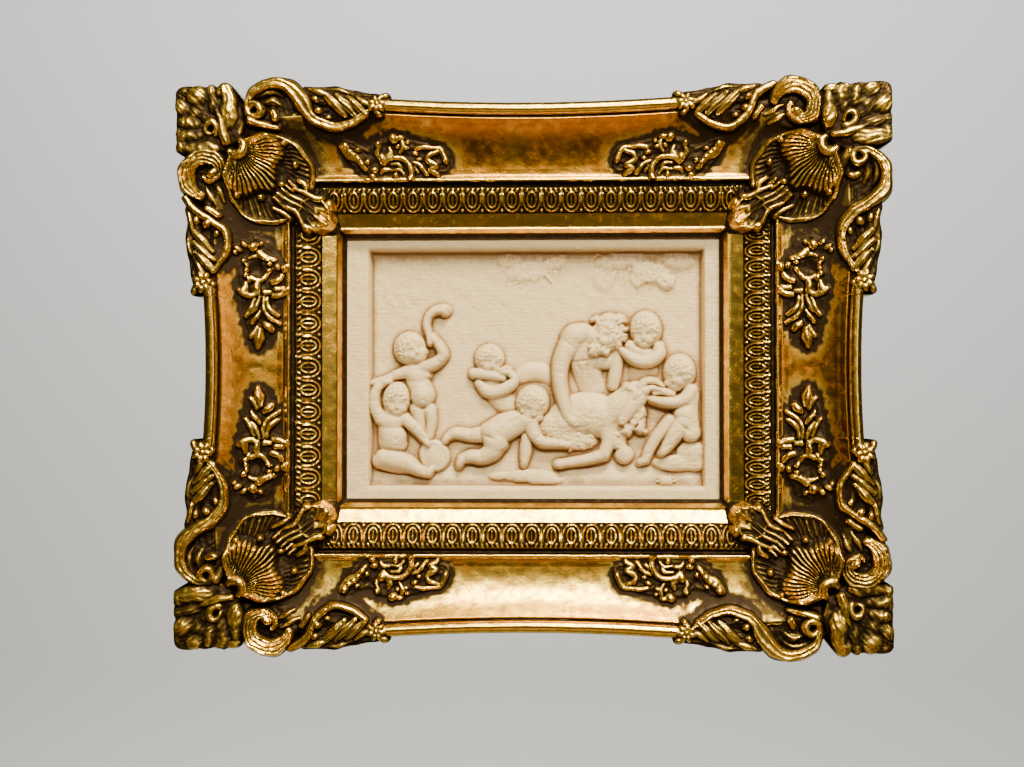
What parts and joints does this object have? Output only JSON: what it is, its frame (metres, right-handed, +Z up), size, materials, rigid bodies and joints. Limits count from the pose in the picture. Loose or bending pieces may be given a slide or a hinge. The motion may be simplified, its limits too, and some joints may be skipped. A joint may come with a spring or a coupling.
{
  "type": "cherub wall plaque",
  "caption": "Small wall plaque: an ivory relief of cherubs, a satyr and a goat, in a swept gilt frame with shell corners and a leaf band.",
  "frame": {"origin": "on the flat back of the frame, in the middle of the top rail, where it hangs on the wall", "axes": "+X to the right, +Y into the wall, +Z up; the front faces -Y"},
  "size_m": [0.24, 0.0312, 0.195],
  "materials": {
    "aged_gilt": "cast resin with worn antique gold leaf, orange bole and dark wax in the hollows",
    "ivory_cast": "cast ivory-coloured resin, satin, warm brown in the hollows"
  },
  "bodies": {
    "root": {"frame": "aged_gilt", "relief_panel": "ivory_cast"}
  },
  "joints": []
}
